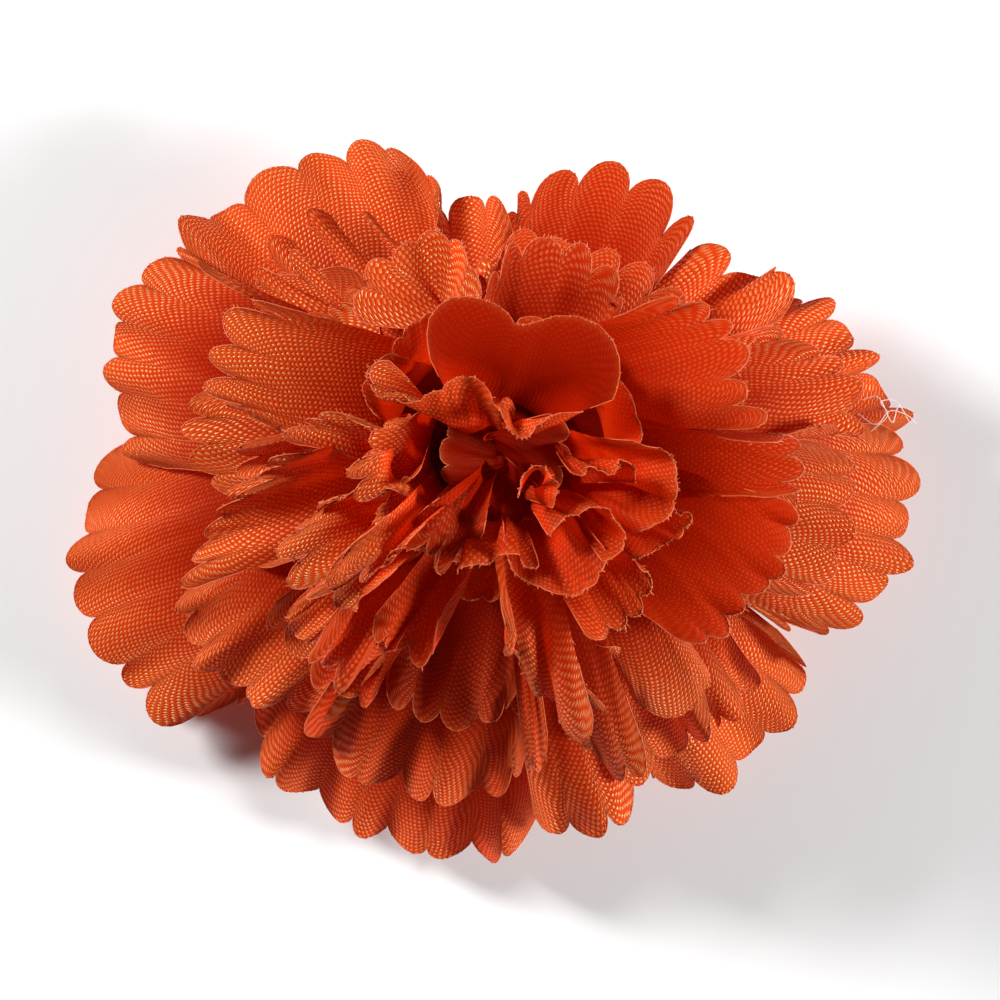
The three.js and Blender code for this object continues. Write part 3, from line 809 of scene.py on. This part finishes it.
# %% Folded round 1
F1 = "folded_round_1"
petal(F1, 178, [(-10.4, 1.4, 34), (-12.6, 2.2, 33), (-14.3, 3.4, 32), (-15.8, 2.8, 31),
                (-17.8, 2.2, 30),
                (-19.6, 0.6, 29)],
      lobes=5, rise=76, fall=-28, spread=16, pleat=0.3, notch=1.2, fray=0.4, wave=0.4, bloom=1.1,
      reach_in=0.25, reach_out=0.62, bloom_length=9)
petal(F1, 192, [(-13.2, -1.2, 38), (-12.8, -3.6, 37), (-11.6, -4.7, 37), (-9.8, -3.4, 38)],
      lobes=3, rise=82, fall=-42, spread=14, pleat=0.4, fray=0.4, wave=0.4, bloom=1.0,
      reach_in=0.35, reach_out=0.55)
petal(F1, 206, [(-14.2, -4.5, 35), (-17.6, -6.2, 33), (-19.2, -9.2, 32), (-17.6, -12.4, 32),
                (-15, -13.2, 34)],
      lobes=5, rise=78, fall=-38, spread=20, pleat=0.4, wave=0.7, fray=0.4, bloom=1.2,
      reach_in=0.3, reach_out=0.6)
petal(F1, 218, [(-15, -10.4, 36), (-14.8, -12.8, 34), (-13.4, -14.4, 33), (-11.8, -12.6, 35)],
      lobes=3, rise=80, fall=-46, spread=14, pleat=0.4, fray=0.45, wave=0.5, bloom=1.0,
      reach_in=0.35, reach_out=0.55)
petal(F1, 222, [(-18.2, -13.6, 29), (-18.8, -15.8, 28), (-17.4, -17, 28), (-15.4, -16, 29)],
      lobes=3, rise=70, fall=-40, spread=14, pleat=0.2, notch=0.8, fray=0.3, wave=0.3, bloom=0.8,
      reach_in=0.3, reach_out=0.55)
petal(F1, 232, [(-16, -16.4, 30), (-15.8, -19, 28), (-13.6, -20.4, 27), (-10.8, -19, 29)],
      lobes=4, rise=70, fall=-44, spread=16, pleat=0.6, fray=0.35, bloom=0.4, reach_in=0.35,
      reach_out=0.5)
petal(F1, 150, [(-9.6, 8.4, 32), (-11.4, 7, 32), (-12, 5, 32), (-11, 3, 32)],
      lobes=4, rise=62, fall=5, spread=20, pleat=0.2, notch=0.4, fray=0.1, wave=0.4, bloom=0.1,
      fresh=0.4)
petal(F1, 15, [(11.6, -3.5, 31), (12.2, 1, 32), (11, 5.4, 32), (8.4, 9, 32)],
      lobes=4, rise=78, fall=40, spread=32, pleat=0.2, notch=0.5, fray=0.1, wave=0.3, bloom=0.1)
petal(F1, 122, [(-3, 11.6, 31), (-5.6, 12, 32), (-8, 10.8, 32), (-9.6, 8.6, 31)],
      lobes=4, rise=66, fall=20, spread=30, pleat=0.2, notch=0.6, fray=0.1, wave=0.3, bloom=0.1,
      fresh=0.4)
petal(F1, 55, [(11.2, 3, 28), (9.8, 7, 28), (6.5, 10.4, 28), (2, 11.8, 29)],
      lobes=5, rise=35, fall=-15, spread=34, pleat=0.3, notch=0.8, fray=0.1, wave=0.4, bloom=0.1,
      fresh=0.5)
petal(F1, 250, [(-9, -10, 28), (-6, -12.4, 28), (-2, -13.4, 28), (2, -12.8, 29)],
      lobes=6, rise=35, fall=-15, spread=34, pleat=0.3, notch=0.8, fray=0.1, wave=0.4, bloom=0.1,
      fresh=0.2)
make_round(F1)

# %% Folded round 2
F2 = "folded_round_2"
petal(F2, 212, [(-14, -9.2, 39), (-13.4, -11, 38), (-11.6, -11.8, 38), (-9.8, -9.4, 40)],
      lobes=3, rise=95, fall=-45, spread=18, pleat=0.4, fray=0.4, reach_in=0.55, wave=0.4,
      bloom=1.0, reach_out=0.6)
petal(F2, 236, [(-9.2, -8, 38), (-6.2, -9.1, 37), (-5.2, -10.6, 36), (-2, -9.2, 37)],
      lobes=4, rise=105, fall=-40, spread=24, pleat=0.2, fray=0.3, reach_in=0.75, reach_out=0.5,
      wave=0.3, bloom=0.12, fresh=0.3)
petal(F2, 250, [(-11.4, -15.6, 32), (-9.8, -18, 30), (-6.8, -19, 29), (-5, -16.8, 31)],
      lobes=4, rise=62, fall=-34, spread=16, pleat=0.6, fray=0.35, bloom=0.2)
petal(F2, 284, [(0.8, -16.4, 34), (1.8, -20.2, 31), (4.4, -22.6, 29), (6, -24.6, 28), (8.4, -23.4, 29)],
      lobes=5, rise=74, fall=-52, spread=20, pleat=0.8, notch=2.0, fray=0.35, bloom=0.9,
      reach_in=0.4, reach_out=0.45)
petal(F2, 302, [(7.6, -17, 35), (9.6, -16.2, 34), (11.8, -14.9, 34), (12.9, -13, 34), (13.2, -11, 35),
                (12, -9.4, 36)],
      lobes=5, rise=62, fall=-10, spread=18, pleat=0.3, notch=1.4, fray=0.4, wave=0.4, bloom=0.3)
petal(F2, 276, [(2, -26.5, 21), (3.2, -29.2, 19), (4.4, -26.5, 21)],
      lobes=2, rise=50, fall=-55, spread=6, pleat=0.4, notch=3, fray=0.3, wave=0.3, bloom=0.5)
petal(F2, 182, [(-8.6, 3, 34), (-10.8, 1.4, 35), (-11.6, -1.4, 35), (-10.6, -3.8, 34)],
      lobes=4, rise=80, fall=-30, spread=34, pleat=0.3, notch=0.8, fray=0.2, wave=0.5, reach_in=0.5,
      bloom=0.6)
petal(F2, 200, [(-8.6, -3.2, 37), (-10.6, -5, 36), (-11, -7.6, 35), (-9.4, -9.4, 35)],
      lobes=4, rise=88, fall=-40, spread=30, pleat=0.3, notch=0.8, fray=0.2, wave=0.4, reach_in=0.6,
      bloom=0.7)
make_round(F2)

# %% Folded round 3
F3 = "folded_round_3"
petal(F3, 350, [(11.8, -7.4, 38), (14.4, -6.2, 39), (15.3, -3.6, 40), (14.6, -0.9, 40),
                (11.8, 0.4, 41)],
      lobes=5, rise=66, fall=15, spread=26, pleat=0.4, notch=0.45, fray=0.3, bloom=0.15, wave=1.1)
petal(F3, 330, [(11.8, -9.8, 37), (14, -8.4, 37), (16.2, -7.2, 38), (16.5, -5.4, 38), (14.8, -4.4, 39)],
      lobes=5, rise=62, fall=10, spread=18, pleat=0.4, notch=0.45, fray=0.3, bloom=0.15, wave=1.1)
petal(F3, 352, [(11.8, -3.2, 40), (11.6, -2, 41), (10, -2.2, 42), (8, -1.2, 42), (6.2, -2.2, 42)],
      lobes=5, rise=80, fall=40, spread=28, pleat=0.4, notch=0.45, fray=0.3, wave=1.1, bloom=0.15,
      fresh=0.6)
petal(F3, 318, [(4.4, -5.2, 41), (5.6, -3, 42), (4.4, -1.6, 42), (2.6, -2.2, 42), (1.8, -4.6, 41)],
      lobes=4, rise=96, fall=50, spread=30, pleat=0.3, notch=0.45, fray=0.3, wave=1.1, bloom=0.15,
      fresh=0.6)
petal(F3, 298, [(0.4, -9, 39), (1.6, -10.8, 38), (3.8, -12.2, 38), (6.6, -12.8, 38), (8.8, -11.2, 38),
                (9.2, -8.6, 39)],
      lobes=6, rise=76, fall=5, spread=28, pleat=0.5, notch=0.45, fray=0.3, bloom=0.15, wave=1.1,
      fresh=0.6)
petal(F3, 272, [(-3.4, -11.2, 38), (-1.2, -9.6, 39), (1.6, -9.4, 39), (3, -10.8, 38)],
      lobes=4, rise=80, fall=10, spread=20, pleat=0.5, notch=0.45, fray=0.3, wave=1.1, bloom=0.15,
      fresh=0.6)
petal(F3, 322, [(4.2, -7.8, 40), (6, -5.6, 41), (8.4, -6, 41), (10.6, -7.8, 40), (9.4, -10, 39)],
      lobes=5, rise=80, fall=25, spread=26, pleat=0.4, notch=0.45, fray=0.3, bloom=0.15, wave=1.1,
      fresh=0.6)
make_round(F3)

# %% Folded round 4
F4 = "folded_round_4"
# The broad two-lobed petal at the back and the hoods over the button lie in shadow, so they get painted
# shade and little or no painted sheen.
petal(F4, 84, [(10.8, 4.6, 36), (10.6, 7.6, 37), (9.4, 10, 38), (7.4, 11.3, 39), (4.6, 11.6, 39),
               (2.4, 11.2, 39), (0.4, 12.4, 39), (-2, 13, 39), (-4.4, 12.8, 39), (-6.4, 11, 38),
               (-6.6, 8.4, 37)],
      lobes=2, rise=70, fall=12, spread=55, pleat=0.3, wave=0.4, notch=1.2, curl=0.2, fray=0.12,
      bloom=0.03, fresh=0.1)
petal(F4, 92, [(7.4, 3.2, 41), (4.4, 2.8, 42), (1.4, 1, 42), (-0.8, 4.8, 42), (-2.8, 6.1, 42),
               (-5.4, 5, 42), (-8, 3.7, 41), (-9.2, 4.2, 41)],
      lobes=9, rise=114, fall=40, spread=70, pleat=0.15, wave=0.2, notch=0.5, curl=0.3, fray=0.25,
      reach_in=0.8, reach_out=0.3, bloom=0.4)
petal(F4, 146, [(-8.4, 3.6, 40), (-10.6, 4.4, 39), (-11.4, 6.8, 38), (-10.2, 8, 38)],
      lobes=3, rise=78, fall=-14, spread=14, pleat=0.3, notch=1.0, fray=0.45, bloom=0.9)
petal(F4, 232, [(-9.4, -7.2, 36), (-8.6, -8.8, 35), (-6.1, -9, 35), (-5.4, -10.6, 34), (-2, -9, 36)],
      lobes=4, rise=116, fall=-42, spread=52, pleat=0.2, notch=0.9, fray=0.3, reach_in=1.3,
      reach_out=0.6,
      wave=0.3, bloom=0.2, fresh=0.3)
petal(F4, 292, [(-2.4, -5.6, 34), (-0.4, -7, 34), (2, -6.6, 34), (4.2, -4.6, 35)],
      lobes=3, rise=114, fall=-30, spread=50, pleat=0.2, notch=0.4, fray=0.1, reach_in=1.7,
      reach_out=1.2,
      wave=0.3, bloom=0.0, fresh=0.2)
petal(F4, 188, [(-3.2, 2.6, 35), (-5, 1, 35), (-5.4, -1.4, 35), (-4.2, -3.4, 35)],
      lobes=3, rise=114, fall=-25, spread=50, pleat=0.2, notch=0.4, fray=0.1, reach_in=1.5,
      reach_out=1.0,
      wave=0.3, bloom=0.0, fresh=0.2)
petal(F4, 5, [(4.4, -4.2, 35), (6, -1.6, 36), (6.2, 0.8, 36), (5.2, 3.2, 36)],
      lobes=3, rise=114, fall=-25, spread=50, pleat=0.2, notch=0.4, fray=0.1, reach_in=1.6,
      reach_out=1.2,
      wave=0.3, bloom=0.0, fresh=0.2)
make_round(F4)

# %% [markdown]
# ## A loose fibre
# A little undyed fibre fluff is caught on the edge of the right-hand petals, as happens to
# a flower that has lain about. It is three thin bent hairs, modelled as fine tubes.

# %% Loose fibre
FIBRE_RADIUS = 0.035
FIBRES = [
    [(31.8, 3.2, 17), (33.4, 2.2, 18), (34.6, 3.4, 18.4), (36.2, 3.0, 18), (37, 2.2, 17.4)],
    [(32.2, 4.4, 17.6), (33.6, 4.6, 18.4), (34.8, 2.4, 18.2), (35.4, 3.8, 18), (36.6, 3.4, 17.8)],
    [(33, 1.6, 17), (34.4, 3, 18.2), (33.8, 4.2, 18.8), (35.2, 4.2, 18.4), (36.4, 2.4, 17.6)],
]


def fibre_parts():
    parts = []
    for points in FIBRES:
        path = smooth_line(points, np.linspace(0, 1, 60))
        way = unit(np.gradient(path, axis=0))
        side = unit(np.cross(way, (0, 0, 1.0)))
        face = np.cross(side, way)
        radii = np.full((1, len(path)), FIBRE_RADIUS)
        parts.append(tubes((path[None], side[None], face[None]), 4, radii))
    return parts


fibre_white = bpy.data.materials.new("loose fibre")
fibre_white.use_nodes = True
fibre_white.node_tree.nodes["Principled BSDF"].inputs["Base Color"].default_value = (0.8, 0.75, 0.7, 1)
mesh_piece("loose_fibre", fibre_parts(), fibre_white)
print("loose fibre:", len(FIBRES), "hairs")

# %% [markdown]
# ## Plastic pieces
# The moulded pieces keep their CAD shapes. They only need a finish: soft green polyethylene
# for the calyx and clear, undyed polyethylene for the pin and the plates.


# %% Plastic materials
def plastic_material(title, colour, dark, roughness):
    material = bpy.data.materials.new(title)
    material.use_nodes = True
    tree = material.node_tree
    surface = tree.nodes["Principled BSDF"]
    places = tree.nodes.new("ShaderNodeTexCoord")
    mottle = noise_node(tree, places.outputs["Object"], 180, 4)[0]
    link(tree, mix_colour(tree, mottle, dark, colour), surface.inputs["Base Color"])
    surface.inputs["Roughness"].default_value = roughness
    surface.inputs["Subsurface Weight"].default_value = 0.2
    surface.inputs["Subsurface Scale"].default_value = 0.002
    bump = tree.nodes.new("ShaderNodeBump")
    bump.inputs["Strength"].default_value = 0.25
    bump.inputs["Distance"].default_value = 0.0002
    link(tree, mottle, bump.inputs["Height"])
    link(tree, bump.outputs[0], surface.inputs["Normal"])
    return material


green = plastic_material("calyx plastic", (0.1, 0.24, 0.05, 1), (0.05, 0.14, 0.03, 1), 0.5)
pale = plastic_material("pin plastic", (0.78, 0.8, 0.7, 1), (0.66, 0.7, 0.58, 1), 0.38)
for name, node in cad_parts.items():
    if node.hide_render:
        continue
    node.data.materials.clear()
    node.data.materials.append(green if name == "calyx" else pale)

# %% [markdown]
# ## Floor, light and world
# A plain pale floor, two soft lights from opposite sides that stand low so the weave shows,
# and a faint even white surrounding that fills the shadows.

# %% Floor and lights
LIGHT_DISTANCE = 0.6
LIGHT_SIZE = 0.15
LOOK_AT_HEIGHT = 0.02
SURROUNDING = 0.055
floor_mesh = bpy.data.meshes.new("floor")
side = 1.5
floor_mesh.from_pydata([(-side, -side, 0), (side, -side, 0), (side, side, 0), (-side, side, 0)], [],
                       [(0, 1, 2, 3)])
floor = bpy.data.objects.new("floor", floor_mesh)
bpy.context.scene.collection.objects.link(floor)
paper = bpy.data.materials.new("paper")
paper.use_nodes = True
paper.node_tree.nodes["Principled BSDF"].inputs["Base Color"].default_value = (0.9, 0.9, 0.9, 1)
paper.node_tree.nodes["Principled BSDF"].inputs["Roughness"].default_value = 0.9
floor_mesh.materials.append(paper)


def soft_light(title, azimuth, elevation, power):
    """A square light that looks at the middle of the flower."""
    data = bpy.data.lights.new(title, "AREA")
    data.size = LIGHT_SIZE
    data.energy = power
    light = bpy.data.objects.new(title, data)
    a, e = math.radians(azimuth), math.radians(elevation)
    away = Vector((math.cos(a) * math.cos(e), math.sin(a) * math.cos(e), math.sin(e)))
    light.location = away * LIGHT_DISTANCE + Vector((0, 0, LOOK_AT_HEIGHT))
    light.rotation_mode = "QUATERNION"
    light.rotation_quaternion = away.to_track_quat("Z", "Y")
    bpy.context.scene.collection.objects.link(light)


soft_light("window", 150, 29, 5.3)
soft_light("far window", -10, 22, 5.2)
world = bpy.data.worlds.new("world")
bpy.context.scene.world = world
world.use_nodes = True
world.node_tree.nodes["Background"].inputs["Color"].default_value = (1, 1, 1, 1)
world.node_tree.nodes["Background"].inputs["Strength"].default_value = SURROUNDING
bpy.context.scene.view_settings.view_transform = "Standard"
